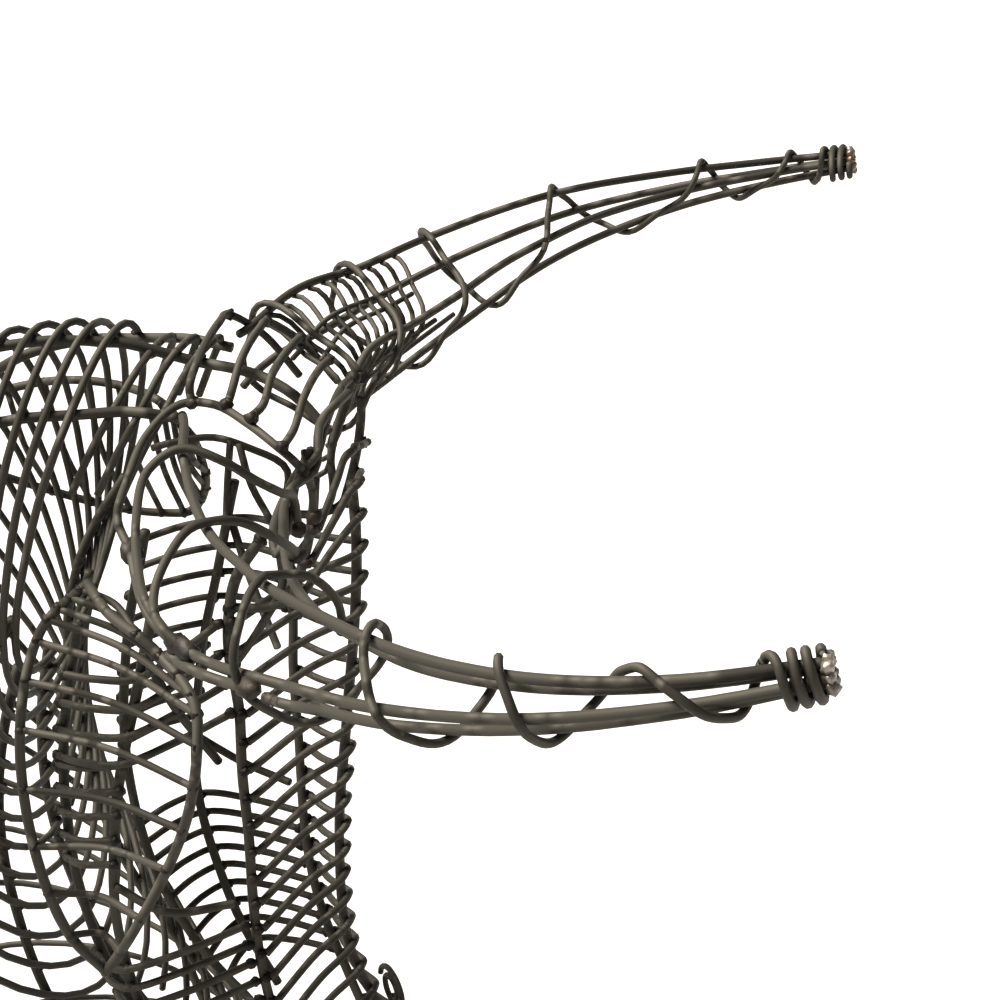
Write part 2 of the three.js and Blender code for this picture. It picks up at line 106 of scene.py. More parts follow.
@dataclass(frozen=True)
class IronFinish:
    """Procedural iron: dark oxide skin, satin sheen, draw marks and faint rust."""

    name: str
    dark: tuple[float, float, float] = (0.0060, 0.0042, 0.0028)
    pale: tuple[float, float, float] = (0.022, 0.0160, 0.0108)
    rust: tuple[float, float, float] = (0.032, 0.018, 0.009)
    rust_share: float = 0.35
    metallic: float = 0.18
    sheen: float = 0.2
    roughness: tuple[float, float] = (0.30, 0.50)
    grain: float = 900.0
    bump: float = 0.25

    def make(self) -> bpy.types.Material:
        """Builds the material.

        Returns:
            The new material.
        """
        material = bpy.data.materials.new(self.name)
        material.use_nodes = True
        nodes = material.node_tree.nodes
        links = material.node_tree.links
        shader = nodes["Principled BSDF"]
        shader.inputs["Metallic"].default_value = self.metallic
        shader.inputs["Specular IOR Level"].default_value = self.sheen
        where = nodes.new("ShaderNodeTexCoord")
        patches = self._noise(nodes, links, where, scale=38.0, detail=4.0)
        speckle = self._noise(nodes, links, where, scale=self.grain, detail=5.0)
        bloom = self._noise(nodes, links, where, scale=14.0, detail=3.0)

        skin = nodes.new("ShaderNodeMix")
        skin.data_type = "RGBA"
        skin.inputs["A"].default_value = (*self.dark, 1.0)
        skin.inputs["B"].default_value = (*self.pale, 1.0)
        links.new(self._ramp(nodes, links, patches, 0.38, 0.68), skin.inputs["Factor"])

        stained = nodes.new("ShaderNodeMix")
        stained.data_type = "RGBA"
        stained.inputs["B"].default_value = (*self.rust, 1.0)
        links.new(skin.outputs["Result"], stained.inputs["A"])
        share = nodes.new("ShaderNodeMath")
        share.operation = "MULTIPLY"
        share.inputs[1].default_value = self.rust_share
        links.new(self._ramp(nodes, links, bloom, 0.55, 0.72), share.inputs[0])
        links.new(share.outputs["Value"], stained.inputs["Factor"])
        links.new(stained.outputs["Result"], shader.inputs["Base Color"])

        shine = nodes.new("ShaderNodeMapRange")
        shine.inputs["To Min"].default_value = self.roughness[0]
        shine.inputs["To Max"].default_value = self.roughness[1]
        links.new(speckle.outputs["Fac"], shine.inputs["Value"])
        links.new(shine.outputs["Result"], shader.inputs["Roughness"])

        relief = nodes.new("ShaderNodeBump")
        relief.inputs["Strength"].default_value = self.bump
        relief.inputs["Distance"].default_value = 0.0004
        links.new(speckle.outputs["Fac"], relief.inputs["Height"])
        links.new(relief.outputs["Normal"], shader.inputs["Normal"])
        return material

    @staticmethod
    def _noise(
        nodes: bpy.types.Nodes,
        links: bpy.types.NodeLinks,
        where: bpy.types.Node,
        scale: float,
        detail: float,
    ) -> bpy.types.Node:
        """Adds a noise texture in object space.

        Args:
            nodes: The material's nodes.
            links: The material's links.
            where: Texture Coordinate node.
            scale: Noise scale, per metre.
            detail: Octaves.

        Returns:
            The noise node.
        """
        texture = nodes.new("ShaderNodeTexNoise")
        texture.inputs["Scale"].default_value = scale
        texture.inputs["Detail"].default_value = detail
        links.new(where.outputs["Object"], texture.inputs["Vector"])
        return texture

    @staticmethod
    def _ramp(
        nodes: bpy.types.Nodes,
        links: bpy.types.NodeLinks,
        texture: bpy.types.Node,
        low: float,
        high: float,
    ) -> bpy.types.NodeSocket:
        """Stretches a noise between two of its values.

        Args:
            nodes: The material's nodes.
            links: The material's links.
            texture: Noise node.
            low: Noise value that becomes 0.
            high: Noise value that becomes 1.

        Returns:
            The socket with the stretched value.
        """
        stretch = nodes.new("ShaderNodeMapRange")
        stretch.interpolation_type = "SMOOTHSTEP"
        stretch.inputs["From Min"].default_value = low
        stretch.inputs["From Max"].default_value = high
        links.new(texture.outputs["Fac"], stretch.inputs["Value"])
        return stretch.outputs["Result"]


IRON = IronFinish("iron_wire")
WELD = IronFinish(
    "weld_bead",
    dark=(0.006, 0.0045, 0.0035),
    pale=(0.020, 0.015, 0.011),
    rust=(0.030, 0.017, 0.009),
    roughness=(0.45, 0.7),
    grain=520.0,
    bump=0.6,
)
RAW = IronFinish(
    "raw_cut",
    dark=(0.10, 0.085, 0.07),
    pale=(0.34, 0.31, 0.27),
    rust=(0.20, 0.10, 0.05),
    metallic=0.8,
    roughness=(0.3, 0.55),
    grain=700.0,
    bump=0.8,
)


# ---------- runs of wire ----------


class SmoothRun:
    """A smooth centripetal run through layout places, read by shares of its points."""

    def __init__(self, points: Sequence[Vector | Sequence[float]]) -> None:
        """Keeps the points.

        Args:
            points: Places to pass through, in order.
        """
        self.points = [Vector(p) for p in points]

    def at(self, share: float) -> Vector:
        """Reads the run.

        Args:
            share: From 0 at the first point to 1 at the last.

        Returns:
            The place there.
        """
        last = len(self.points) - 1
        reach = max(0.0, min(1.0, share)) * last
        i = min(int(reach), last - 1)
        p = self.points
        p1, p2 = p[i], p[i + 1]
        p0 = p[i - 1] if i else p1 * 2 - p2
        p3 = p[i + 2] if i + 2 <= last else p2 * 2 - p1
        gaps = [max((b - a).length ** 0.5, 1e-4) for a, b in ((p0, p1), (p1, p2), (p2, p3))]
        d0, d1, d2 = gaps
        m1 = ((p1 - p0) / d0 - (p2 - p0) / (d0 + d1) + (p2 - p1) / d1) * d1
        m2 = ((p2 - p1) / d1 - (p3 - p1) / (d1 + d2) + (p3 - p2) / d2) * d1
        s = reach - i
        return (
            p1
            + m1 * s
            + (p1 * -3 + p2 * 3 - m1 * 2 - m2) * s**2
            + (p1 * 2 - p2 * 2 + m1 + m2) * s**3
        )

    def sample(self, steps: int, start: float = 0.0, stop: float = 1.0) -> list[Vector]:
        """Reads the run at even shares.

        Args:
            steps: How many steps.
            start: First share.
            stop: Last share.

        Returns:
            The places, one more than the steps.
        """
        return [self.at(start + (stop - start) * i / steps) for i in range(steps + 1)]

    def at_height(self, z: float) -> Vector:
        """Finds where a falling run passes a height.

        Args:
            z: Height in millimetres.

        Returns:
            The place there.
        """
        low, high = 0.0, 1.0
        for _ in range(24):
            middle = (low + high) / 2
            if self.at(middle).z > z:
                low = middle
            else:
                high = middle
        return self.at(low)


def smooth(points: Sequence[Vector | Sequence[float]], spacing: float = 4.0) -> list[Vector]:
    """Bends a wire smoothly through given points.

    Args:
        points: Layout places.
        spacing: Distance between the stations of the result, in millimetres.

    Returns:
        Closely spaced layout places.
    """
    run = SmoothRun(points)
    rough = sum((b - a).length for a, b in zip(run.points, run.points[1:]))
    return run.sample(max(len(run.points) * 2, round(rough / spacing)))


# Steps that round a wire's end: how far on, and how much narrower, in wire radii.
ROUNDED_END = ((0.22, 0.86), (0.16, 0.62))
# A bead's radius as a share of its nominal size, and how lumpy it is.
BEAD_SHARE = 0.43
BEAD_LUMP = 0.5


@dataclass
class Bench:
    """Where one piece is put together from bent wires and weld beads."""

    name: str
    sides: int = 8
    waver: float = 0.45
    wave_length: float = 55.0
    lump: float = 0.035
    wires: int = 0
    shape: bmesh.types.BMesh = field(default_factory=bmesh.new)

    def bend(
        self,
        points: Sequence[Vector],
        gauge: float,
        ends: tuple[End, End] = (End.WELDED, End.WELDED),
        waver: float | None = None,
    ) -> None:
        """Bends a wire along closely spaced places and adds it to the piece.

        Args:
            points: Layout places of the wire's middle.
            gauge: Wire diameter in millimetres.
            ends: How the first and the last end are finished.
            waver: Hand waviness in millimetres, or None for the bench's own.
        """
        self.wires += 1
        seed = Vector((len(self.name) * 3.7, self.wires * 5.3, ord(self.name[-1]) * 1.9))
        swing = self.waver if waver is None else waver
        line = [p + noise.noise_vector(p / self.wave_length + seed) * swing for p in points]
        turns = self._turns(line)
        radii = [
            gauge / 2 * (1 + self.lump * noise.noise(p * 0.16 + seed * 2)) for p in line
        ]
        frames = [
            Matrix.Translation(place(*p)) @ turn.to_4x4() @ Matrix.Diagonal((r * MM,) * 3).to_4x4()
            for p, turn, r in zip(line, turns, radii)
        ]
        wire = bmesh.new()
        bmesh.ops.create_circle(
            wire, cap_ends=True, segments=self.sides, radius=1.0, matrix=frames[0]
        )
        cap = wire.faces[:][0]
        if ends[0] is End.CUT:
            cap.material_index = Metal.RAW.value
        for before, after in zip(frames, frames[1:]):
            cap = self._extend(wire, cap, after @ before.inverted())
            cap.material_index = Metal.IRON.value
        cap = self._round_over(wire, cap, frames[-1], ends[1])
        bmesh.ops.recalc_face_normals(wire, faces=wire.faces)
        self.add(wire)

    @staticmethod
    def _turns(line: Sequence[Vector]) -> list[Matrix]:
        """Carries a section along a line without twisting it.

        Args:
            line: Places of the wire's middle.

        Returns:
            A rotation for each place, its Z along the wire.
        """
        last = len(line) - 1
        headings = [
            (line[min(i + 1, last)] - line[max(i - 1, 0)]).normalized() for i in range(last + 1)
        ]
        turn = headings[0].to_track_quat("Z", "Y")
        turns = [turn.to_matrix()]
        for before, after in zip(headings, headings[1:]):
            turn = before.rotation_difference(after) @ turn
            turns.append(turn.to_matrix())
        return turns

    @staticmethod
    def _extend(
        wire: bmesh.types.BMesh, cap: bmesh.types.BMFace, move: Matrix
    ) -> bmesh.types.BMFace:
        """Draws the wire on by one station.

        Args:
            wire: The wire so far.
            cap: Its end face.
            move: Takes the end face to its next station.

        Returns:
            The new end face.
        """
        made = bmesh.ops.extrude_face_region(wire, geom=[cap])["geom"]
        verts = [v for v in made if isinstance(v, bmesh.types.BMVert)]
        bmesh.ops.transform(wire, matrix=move, verts=verts)
        return next(f for f in made if isinstance(f, bmesh.types.BMFace))

    def _round_over(
        self, wire: bmesh.types.BMesh, cap: bmesh.types.BMFace, at: Matrix, end: End
    ) -> bmesh.types.BMFace:
        """Eases the last edge of a wire.

        Args:
            wire: The wire.
            cap: Its end face.
            at: The end station's placing.
            end: How the end is finished.

        Returns:
            The end face.
        """
        here = at
        for reach, width in ROUNDED_END:
            narrower = Matrix.Diagonal((width, width, 1)).to_4x4()
            after = here @ Matrix.Translation((0, 0, reach)) @ narrower
            cap = self._extend(wire, cap, after @ here.inverted())
            here = after
        cap.material_index = Metal.RAW.value if end is End.CUT else Metal.IRON.value
        return cap

    def bead(
        self,
        at: Vector,
        size: float,
        along: Vector | None = None,
        stretch: float = 1.0,
        metal: Metal = Metal.WELD,
    ) -> None:
        """Adds a lumpy weld bead.

        Args:
            at: Layout place of its middle.
            size: Its diameter in millimetres.
            along: Direction it is drawn out in.
            stretch: How much longer than wide it is.
            metal: What it is made of.
        """
        bead = bmesh.new()
        heading = (along or Vector((0, 0, 1))).to_track_quat("Z", "Y").to_matrix().to_4x4()
        radius = size * BEAD_SHARE * MM
        scale = Matrix.Diagonal((radius, radius, radius * stretch)).to_4x4()
        bmesh.ops.create_icosphere(bead, subdivisions=2, radius=1.0)
        seed = at * 0.37
        for vert in bead.verts:
            vert.co *= 1 + BEAD_LUMP * noise.noise(vert.co * 1.9 + seed)
        bmesh.ops.transform(
            bead, matrix=Matrix.Translation(place(*at)) @ heading @ scale, verts=bead.verts
        )
        for face in bead.faces:
            face.material_index = metal.value
        self.add(bead)

    def add(self, part: bmesh.types.BMesh) -> None:
        """Moves a finished part into the piece.

        Args:
            part: The part's mesh, which is used up.
        """
        for face in part.faces:
            face.smooth = True
        mesh = bpy.data.meshes.new("part")
        part.to_mesh(mesh)
        part.free()
        self.shape.from_mesh(mesh)
        bpy.data.meshes.remove(mesh)

    def finish(self) -> None:
        """Turns the work on the bench into one piece that stands for the node of its name."""
        mesh = bpy.data.meshes.new(self.name)
        self.shape.to_mesh(mesh)
        self.shape.free()
        for finish in (IRON, WELD, RAW):
            mesh.materials.append(bpy.data.materials[finish.name])
        piece = bpy.data.objects.new(self.name, mesh)
        bpy.context.scene.collection.objects.link(piece)
        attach(piece, "root")
        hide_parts(self.name)
        log.info("%s: %d faces", self.name, len(mesh.polygons))


# ---------- horns ----------


STRINGER_STEPS = 22
# From this station on, the wrap binds the rods closely.
BINDING_STATION = 7.6


@dataclass
class Horn:
    """One horn: four long rods under one loose wrap, bound at the tip.

    ``root_loops`` and ``wrap_lead`` hold pairs of an angle about the axis and a
    station, and ``stringers`` an angle with a first and a last station.
    """

    side: Side
    lift: tuple[float, ...]
    roll: float
    wrap_start: float
    wrap_steps: tuple[float, ...]
    rod_gauge: float = 4.0
    wrap_gauge: float = 3.3
    roll_at_skull: float = 20.0
    stations: tuple[tuple[float, ...], ...] = (
        (50, 244, 437, 44, 38),
        (88, 236, 446, 35, 32),
        (130, 219, 444, 30, 28),
        (168, 194, 450, 26, 25),
        (201, 162, 461, 20, 19),
        (231, 125, 472, 14.5, 14),
        (252, 80, 484, 9.5, 9.5),
        (261, 33, 497, 5.8, 5.8),
        (259, -12, 509, 3.5, 3.5),
    )
    rod_starts: dict[str, float] = field(
        default_factory=lambda: {"top": 0.0, "outer": 0.6, "bottom": 3.0, "inner": 0.15}
    )
    leads: dict[str, tuple[Point, ...]] = field(default_factory=dict)
    root_loops: tuple[tuple[tuple[float, float], ...], ...] = ()
    wrap_lead: tuple[tuple[float, float], ...] = ()
    lattice_hoops: int = 0
    stringers: tuple[Point, ...] = (
        (318, 0.1, 2.9), (296, 0.3, 2.4), (244, 0.2, 2.6), (214, 0.4, 3.0),
    )
    lattice_gauge: float = 2.6
    flatness: float = 0.1
    loop_flatness: float = 0.06
    loop_room: float = 1.2

    def __post_init__(self) -> None:
        """Lays the horn's axis and its widths."""
        sign = self.side.value
        self.axis = SmoothRun(
            [(x * sign, y, z + up) for (x, y, z, _, _), up in zip(self.stations, self.lift)]
        )
        self.widths = SmoothRun(
            [(i * 40, up, across) for i, (_, _, _, up, across) in enumerate(self.stations)]
        )
        self.last = len(self.stations) - 1

    def surface(
        self, station: float, degrees: float, proud: float = 0.0, flat: float = 0.0
    ) -> Vector:
        """Finds a place on the horn.

        Args:
            station: Counted from the skull.
            degrees: Angle about the axis, 0 on top and 90 on the outer side.
            proud: Distance out from the rods' middles.
            flat: How far the section is drawn in half-way between two rods, as a share.

        Returns:
            The layout place.
        """
        drawn = 1 - flat * math.sin(math.radians(degrees * 2)) ** 2
        share = min(station / self.last, 1.0)
        step = 1e-3
        tangent = (self.axis.at(share + step) - self.axis.at(share - step)).normalized()
        sign = self.side.value
        outer = tangent.cross(Vector((0, 0, 1))).normalized() * -sign
        up = outer.cross(tangent) * -sign
        size = self.widths.at(share)
        skull_share = max(0.0, 1 - station / 3)
        roll = self.roll + (self.roll_at_skull - self.roll) * skull_share
        angle = math.radians(degrees + roll)
        return (
            self.axis.at(share)
            + up * ((size.y + proud) * drawn * math.cos(angle))
            + outer * ((size.z + proud) * drawn * math.sin(angle))
        )

    def build(self) -> None:
        """Makes the four rods and the wrap."""
        for quarter, name in enumerate(("top", "outer", "bottom", "inner")):
            self._rod(name, quarter * 90)
        self._wrap()

    def _rod(self, name: str, degrees: float) -> None:
        """Makes one rod with its lead-in over the skull.

        Args:
            name: Which rod.
            degrees: Its angle about the axis.
        """
        start = self.rod_starts[name]
        steps = round((self.last - start) * 9)
        run = [
            self.surface(start + (self.last - start) * k / steps, degrees)
            for k in range(steps + 1)
        ]
        lead = self.leads.get(name)
        if lead:
            run = smooth([*lead, *run[2::3]], 4.5)
        bench = Bench(f"{self.side.label}_horn_{name}_rod", sides=10, waver=0.5)
        bench.bend(run, self.rod_gauge, (End.WELDED, End.CUT))
        if name == "bottom":
            for k in range(4):
                at = self.surface(start + 0.05 + 0.11 * k, degrees)
                bench.bead(at, 5.4 - 0.5 * k, run[1] - run[0], 1.5)
        if name == "outer":
            self._root_loops(bench)
        if name == "inner":
            self._lattice(bench)
        bench.finish()

    def _root_loops(self, bench: Bench) -> None:
        """Bends the open loops over the root, each welded to the outer rod.

        Args:
            bench: The outer rod's bench.
        """
        proud = (self.rod_gauge + self.wrap_gauge) / 2 + self.loop_room
        for loop in self.root_loops:
            run = [
                self.surface(station, degrees, proud, self.loop_flatness)
                for degrees, station in loop
            ]
            run[0] = self.surface(loop[0][1], loop[0][0])
            bench.bend(smooth(run, 3), self.wrap_gauge + 0.4)
            bench.bead(run[0], 10.0, run[1] - run[0], 1.5)
            bench.bead(run[-1], 8.5)
        if self.root_loops:
            doubled = [self.surface(2.7 + 0.11 * k, 98, 3.0) for k in range(11)]
            bench.bend(doubled, self.rod_gauge)
            bench.bead(doubled[-1], 9.0, doubled[-1] - doubled[-2], 1.7)

    def _lattice(self, bench: Bench) -> None:
        """Lays the thin hoops and stringers inside the root.

        Args:
            bench: The inner rod's bench.
        """
        inside = -self.rod_gauge / 2
        for k in range(self.lattice_hoops):
            middle = 0.12 + 0.2 * k
            run = [
                self.surface(max(middle + 0.3 * math.cos(math.radians(a)), 0), a, inside, 0.27)
                for a in range(180, 361, 10)
            ]
            bench.bend(run, self.lattice_gauge)
        if self.lattice_hoops:
            for degrees, start, stop in self.stringers:
                shares = [i / STRINGER_STEPS for i in range(STRINGER_STEPS + 1)]
                run = [
                    self.surface(start + (stop - start) * t, degrees + 3 * t, inside * 2, 0.2)
                    for t in shares
                ]
                bench.bend(run, self.lattice_gauge)

    def _wrap(self) -> None:
        """Makes the loose wrap, its weld and the ragged cut ends at the tip."""
        steps = SmoothRun([(i, step, 0) for i, step in enumerate(self.wrap_steps)])
        proud = (self.rod_gauge + self.wrap_gauge) / 2 + 0.5
        pieces = 12 * (len(self.wrap_steps) - 1)
        run = []
        for k in range(pieces + 1):
            station = steps.at(k / pieces).y
            degrees = self.wrap_start + k * 7.5
            flat = self.flatness if station < BINDING_STATION else 0.0
            run.append(self.surface(station, degrees, proud, flat))
        if self.wrap_lead:
            lead = [self.surface(station, degrees, proud) for degrees, station in self.wrap_lead]
            run = [*smooth([*lead, run[0]], 3)[:-1], *run]
        bench = Bench(f"{self.side.label}_horn_wrap", sides=8, waver=0.7)
        bench.bend(run, self.wrap_gauge, (End.WELDED, End.CUT))
        bench.bead(run[0], 8.0)
        ahead = run[-1] - run[-14]
        for degrees in range(0, 360, 40):
            tip = self.surface(self.last, degrees, 1.4 + 0.8 * math.sin(degrees))
            bench.bead(tip, 5.2, ahead, 1.2, Metal.RAW)
        bench.finish()


# How far a wire sinks into the bar that it is welded to.
WELD_SINK = 0.5

# ---------- face ----------

RIDGE = SmoothRun(
    [
        (0, y, z)
        for y, z in (
            (197, 462), (194, 430), (193, 400), (196, 350), (201, 304), (207, 235),
            (206, 180), (198, 150), (186, 126), (181, 108), (186, 94),
        )
    ]
)


@dataclass
class Face:
    """The nose ridge, its rows of wire, the cheeks and the muzzle."""

    frame_gauge: float = 5.0
    wire_gauge: float = 3.7
    nose_wires: int = 23
    nose_top: float = 447.0
    nose_pitch: float = 16.5
    tightening: float = 0.13
    drops: dict[Side, float] = field(default_factory=lambda: {Side.RIGHT: 17.0, Side.LEFT: 19.0})
    nose_bar: tuple[Point, ...] = (
        (44, 228, 421), (45, 239, 403), (46, 243, 388), (46, 245, 365), (46, 242, 335),
        (45, 243, 300), (45, 242, 262), (45, 242, 225), (45, 240, 190), (45, 233, 150),
        (45, 222, 115), (42, 213, 94),
    )
    forehead_bar: tuple[Point, ...] = (
        (43, 203, 452), (44, 204, 438), (45, 207, 421), (46, 212, 403), (46, 215, 395),
        (46, 226, 389), (46, 243, 387),
    )
    forehead_rows_above: float = 393.0
    temple_column: tuple[Point, ...] = (
        (42, 206, 462), (44, 211, 449), (45, 215, 437), (45, 219, 420), (45, 219, 400),
        (45, 230, 378), (46, 243, 358),
    )
    cheek_bar: tuple[Point, ...] = (
        (62, 272, 394), (63, 283, 350), (63, 297, 290), (62, 304, 230), (61, 302, 195),
        (60, 294, 160), (57, 281, 125), (48, 262, 98),
    )
    jaw_bar: tuple[Point, ...] = (
        (46, 314, 372), (44, 326, 320), (41, 332, 270), (39, 331, 220), (37, 320, 170),
        (34, 298, 128), (30, 272, 100),
    )
    brow_bar: tuple[Point, ...] = ((66, 277, 372), (60, 266, 340), (51, 252, 309))
    eyelid_bar: tuple[Point, ...] = ((64, 302, 243), (63, 278, 230), (51, 250, 229))
    temple_heights: tuple[float, ...] = (380, 364, 349, 334)
    eye_heights: tuple[float, ...] = (312, 298, 284, 270, 256)
    jaw_top: float = 214.0
    jaw_pitch: float = 11.0
    jaw_wires: int = 9
    temple_bar: tuple[Point, ...] = (
        (60, 312, 410), (60, 301, 414), (60, 281, 418), (60, 264, 414), (56, 244, 406),
        (46, 243, 392),
    )
    temple_stub: tuple[Point, ...] = ((60, 272, 418), (61, 275, 396), (60, 277, 376))
    temple_brace: tuple[Point, ...] = (
        (60, 268, 416), (56, 262, 396), (50, 250, 376), (46, 246, 364),
    )
    cheek_drops: dict[Side, float] = field(
        default_factory=lambda: {Side.RIGHT: 20.0, Side.LEFT: 8.0}
    )
    jaw_drops: dict[Side, float] = field(
        default_factory=lambda: {Side.RIGHT: 34.0, Side.LEFT: 15.0}
    )
    lip_centre: Point = (0, 238, 82)
    lip_half: tuple[float, float] = (41, 35)

    def __post_init__(self) -> None:
        """Lays the bars of both sides."""
        self.nose_bars = {side: self._mirror(self.nose_bar, side) for side in Side}
        self.forehead_bars = {side: self._mirror(self.forehead_bar, side) for side in Side}
        self.cheek_bars = {side: self._mirror(self.cheek_bar, side) for side in Side}
        self.jaw_bars = {side: self._mirror(self.jaw_bar, side) for side in Side}

    def build(self) -> None:
        """Makes every piece of the face."""
        depth = (self.frame_gauge + self.wire_gauge) / 2 - WELD_SINK
        self._ridge_bar(depth)
        for side in Side:
            self._nose_bar(side)
        self._nose_rows(depth)
        for side in Side:
            self._cheek(side, depth)
            self._nostril(side)
        self._lips()

    @staticmethod
    def _mirror(points: Sequence[Point], side: Side) -> SmoothRun:
        """Lays a bar on one side.

        Args:
            points: Places on the animal's left side.
            side: The side wanted.

        Returns:
            The run on that side.
        """
        return SmoothRun([(x * side.value, y, z) for x, y, z in points])

    def _ridge_bar(self, depth: float) -> None:
        """Makes the bar under the ridge.

        Args:
            depth: How far it lies behind the ridge line.
        """
        bench = Bench("ridge_bar")
        run = [p + Vector((0, depth, 0)) for p in RIDGE.sample(70, 0.1)]
        bench.bend(run, self.frame_gauge)
        bench.finish()

    def _nose_bar(self, side: Side) -> None:
        """Makes one nose bar with its forehead bar and the column beside them.

        Args:
            side: Which one.
        """
        bench = Bench(f"{side.label}_nose_bar")
        bench.bend(self.nose_bars[side].sample(90), self.frame_gauge)
        bench.bend(self.forehead_bars[side].sample(42), self.frame_gauge - 0.6)
        column = self._mirror(self.temple_column, side).sample(48)
        bench.bend(column, self.wire_gauge + 0.3)
        joins = (column[0], column[-1], self.forehead_bars[side].at(1), self.nose_bars[side].at(0))
        for at in joins:
            bench.bead(at, 7.5)
        bench.finish()

    def _row_heights(self) -> list[float]:
        """Heights of the nose rows at the ridge, which draw together downwards."""
        heights = [self.nose_top]
        for i in range(1, self.nose_wires):
            heights.append(heights[-1] - self.nose_pitch + self.tightening * i)
        return heights

    def _nose_rows(self, depth: float) -> None:
        """Makes the rows over the nose.

        Args:
            depth: How far a row's middle lies before the bar's middle.
        """
        for i, z in enumerate(self._row_heights(), start=1):
            bench = Bench(f"nose_wire_{i:02d}", waver=0.8)
            middle = RIDGE.at_height(z)
            ends = {}
            for side in Side:
                foot = z - self.drops[side]
                high = foot > self.forehead_rows_above
                bar = (self.forehead_bars if high else self.nose_bars)[side].at_height(foot)
                ends[side] = Vector((bar.x + side.value * 1.5, bar.y - depth, foot))
            right, left = ends[Side.RIGHT], ends[Side.LEFT]
            run = [
                right,
                right.lerp(middle, 0.55) + Vector((0, 1.0, 1.0)),
                middle + Vector((-8, 2.6, -1.0)),
                middle + Vector((-3, 0.3, 0.3)),
                middle + Vector((3, 0.3, -0.4)),
                middle + Vector((8, 2.6, -3.0)),
                left.lerp(middle, 0.45) + Vector((0, 1.0, -0.5)),
                left,
            ]
            bench.bend(smooth(run, 2.5), self.wire_gauge)
            for side in Side:
                bench.bead(ends[side] + Vector((0, 2.0, -0.4)), 6.2, Vector((1, 0, 0)), 1.2)
            bench.finish()

    def _cheek(self, side: Side, depth: float) -> None:
        """Makes one cheek: its bars, eye rims and rows of wire.

        Args:
            side: Which one.
            depth: How far a wire's middle lies before a bar's middle.
        """
        sign = side.value
        bench = Bench(f"{side.label}_cheek", waver=0.7)
        bench.bend(self.cheek_bars[side].sample(80), self.frame_gauge)
        bench.bend(self.jaw_bars[side].sample(70), self.frame_gauge)
        for rim in (self.brow_bar, self.eyelid_bar):
            bench.bend(smooth([(x * sign, y, z) for x, y, z in rim]), self.wire_gauge + 0.4)
        out = self.frame_gauge / 2
        jaw_heights = [self.jaw_top - i * self.jaw_pitch for i in range(self.jaw_wires)]
        for z in (*self.temple_heights, *jaw_heights):
            nose = self.nose_bars[side].at_height(z) + Vector((sign * out, depth, 0))
            cheek = self._on_cheek(side, z - self.cheek_drops[side], out + 1.2)
            jaw = self._on_jaw(side, z - self.jaw_drops[side], out)
            front_bulge = nose.lerp(cheek, 0.5) + Vector((sign * 3, 0, 0))
            back_bulge = cheek.lerp(jaw, 0.5) + Vector((sign * 3, 2, 0))
            bench.bend(smooth([nose, front_bulge, cheek, back_bulge, jaw], 4), self.wire_gauge)
            bench.bead(nose, 6, Vector((0, 1, 0)), 1.1)
            bench.bead(cheek - Vector((sign * 1.5, 0, 0)), 6)
            bench.bead(jaw, 6)
        if side is Side.LEFT:
            bench.bend(smooth(self.temple_bar, 4), self.wire_gauge)
            bench.bend(smooth(self.temple_stub, 4), self.wire_gauge, (End.WELDED, End.CUT))
            bench.bend(smooth(self.temple_brace, 4), self.wire_gauge)
        for z in self.eye_heights:
            cheek = self._on_cheek(side, z, out)
            jaw = self._on_jaw(side, z - self.jaw_drops[side] / 2, out)
            bulge = cheek.lerp(jaw, 0.5) + Vector((sign * 3, 2, 0))
            bench.bend(smooth([cheek, bulge, jaw], 4), self.wire_gauge)
            bench.bead(cheek, 6)
            bench.bead(jaw, 6)
        bench.finish()

    def _on_cheek(self, side: Side, z: float, out: float) -> Vector:
        """Finds where a row crosses the cheek bar.

        Args:
            side: Which cheek.
            z: Height.
            out: How far the row lies outside the bar's middle.

        Returns:
            The layout place.
        """
        return self.cheek_bars[side].at_height(z) + Vector((side.value * out, -1, 0))

    def _on_jaw(self, side: Side, z: float, out: float) -> Vector:
        """Finds where a row ends on the jaw bar.

        Args:
            side: Which jaw.
            z: Height.
            out: How far the row lies outside the bar's middle.

        Returns:
            The layout place.
        """
        return self.jaw_bars[side].at_height(z) + Vector((side.value * out, 2.5, 0))

    def _nostril(self, side: Side) -> None:
        """Makes one nostril coil.

        Args:
            side: Which one.
        """
        outer, inner, turns = 12.0, 4.0, 1.75
        x, y, z = 27, 193, 121
        steps = round(turns * 28)
        run = []
        for i in range(steps + 1):
            angle = turns * 2 * math.pi * i / steps
            radius = outer + (inner - outer) * i / steps
            across = radius * math.cos(angle)
            up = radius * math.sin(angle)
            run.append(Vector((side.value * (x + across), y + across * 0.75, z + up)))
        bench = Bench(f"{side.label}_nostril_coil", waver=0.3)
        bench.bend(run, 3.2, (End.WELDED, End.CUT))
        bench.finish()

    def _lips(self) -> None:
        """Makes the lip hoop and its cross bars."""
        centre = Vector(self.lip_centre)
        half_x, half_y = self.lip_half
        bench = Bench("lip_hoop")
        angles = [math.radians(a) for a in range(-90, 276, 5)]
        hoop = [
            centre + Vector((half_x * math.cos(a), half_y * math.sin(a), 0)) for a in angles
        ]
        bench.bend(hoop, self.frame_gauge, waver=0.2)
        for row in (-1, 0, 1):
            y = row * 17
            x = half_x * math.sqrt(1 - (y / half_y) ** 2)
            ends = [centre + Vector((-x, y, 0)), centre + Vector((x, y, 0))]
            bench.bend(smooth(ends), self.wire_gauge)
            for end in ends:
                bench.bead(end, 6.5)
        bench.finish()


# ---------- ears ----------


